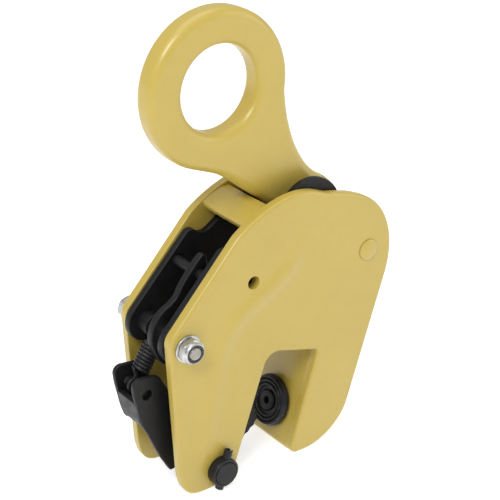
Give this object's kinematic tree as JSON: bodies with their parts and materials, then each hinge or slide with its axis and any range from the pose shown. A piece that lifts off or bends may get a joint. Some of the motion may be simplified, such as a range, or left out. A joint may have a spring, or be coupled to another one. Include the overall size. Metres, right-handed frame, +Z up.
{
  "type": "plate lifting clamp",
  "caption": "Vertical plate lifting clamp: two side plates with a slanted throat, toothed cam, swivel pad, sprung lock lever and a thick lifting eye.",
  "frame": {"origin": "centre of the bounding box's bottom face, on the ground the two feet stand on", "axes": "+X along the side plates from the lever side to the back edge, +Y through the thickness towards the far plate, +Z up"},
  "size_m": [0.2192, 0.0888, 0.3538],
  "materials": {
    "yellow_paint": "semi-gloss enamel over cast and flame-cut steel",
    "black_oxide": "satin black oxide",
    "zinc": "bright zinc plate",
    "nylon": "dark nylon"
  },
  "bodies": {
    "frame": {"side_plate_near": "yellow_paint", "side_plate_far": "yellow_paint", "bridge": "yellow_paint", "jaw_block": "yellow_paint", "rivet_spacer": "yellow_paint", "rivet": "yellow_paint", "pivot_bolt": "zinc", "bolt_sleeve": "zinc", "bolt_collar_far": "zinc", "bolt_washer_near": "zinc", "lock_nut": "zinc", "nylon_insert": "nylon", "cam_pin": "black_oxide", "cam_pin_collar": "black_oxide", "roll_pin": "black_oxide", "cam_washer_near": "black_oxide", "cam_washer_far": "black_oxide", "lever_pin": "black_oxide", "pad_bolt": "black_oxide", "pad_washer": "zinc", "pad_nut": "zinc", "tension_spring": "black_oxide"},
    "rocker": {"arm_near": "black_oxide", "arm_far": "black_oxide", "rocker_crank": "black_oxide", "rocker_cross_pin": "black_oxide", "ring_pin": "black_oxide", "ring_washer_near": "black_oxide", "ring_washer_far": "black_oxide"},
    "eye": {"lifting_ring": "yellow_paint"},
    "cam": {"cam": "black_oxide", "cam_link_pin": "black_oxide"},
    "link": {"link": "black_oxide", "link_rocker_pin": "black_oxide"},
    "lever": {"lock_lever": "black_oxide", "spring_pin": "black_oxide"},
    "pad": {"swivel_pad": "black_oxide"}
  },
  "joints": [
    {"name": "rocker_swing", "type": "hinge", "parent": "frame", "child": "rocker", "pos_m": [-0.0758, -0.0012, 0.1252], "axis": [0, 1, 0], "range_deg": [0, 9.5], "stiffness_Nm_per_rad": 8, "springref_deg": -28.65},
    {"name": "eye_swing", "type": "hinge", "parent": "rocker", "child": "eye", "pos_m": [0.0412, -0.0012, 0.1947], "axis": [0, 1, 0], "range_deg": [0, 60]},
    {"name": "cam_turn", "type": "hinge", "parent": "frame", "child": "cam", "pos_m": [-0.0488, -0.0012, 0.0146], "axis": [0, 1, 0], "range_deg": [-28.6, 0]},
    {"name": "link_turn", "type": "hinge", "parent": "cam", "child": "link", "pos_m": [-0.0663, -0.0012, 0.0196], "axis": [0, 1, 0], "range_deg": [0, 29.2]},
    {"name": "lever_swing", "type": "hinge", "parent": "frame", "child": "lever", "pos_m": [-0.0758, -0.0012, 0.0604], "axis": [0, 1, 0], "range_deg": [-16, 0], "stiffness_Nm_per_rad": 1.2, "springref_deg": 34.38, "deforming": ["tension_spring"]},
    {"name": "pad_spin", "type": "hinge", "parent": "frame", "child": "pad", "pos_m": [0.0272, -0.0012, 0.0307], "axis": [-0.9548, 0, 0.2974], "continuous": true}
  ],
  "couplings": [
    {"joint": "cam_turn", "follows": "rocker_swing", "ratio": -3},
    {"joint": "link_turn", "follows": "rocker_swing", "ratio": 3.061}
  ]
}
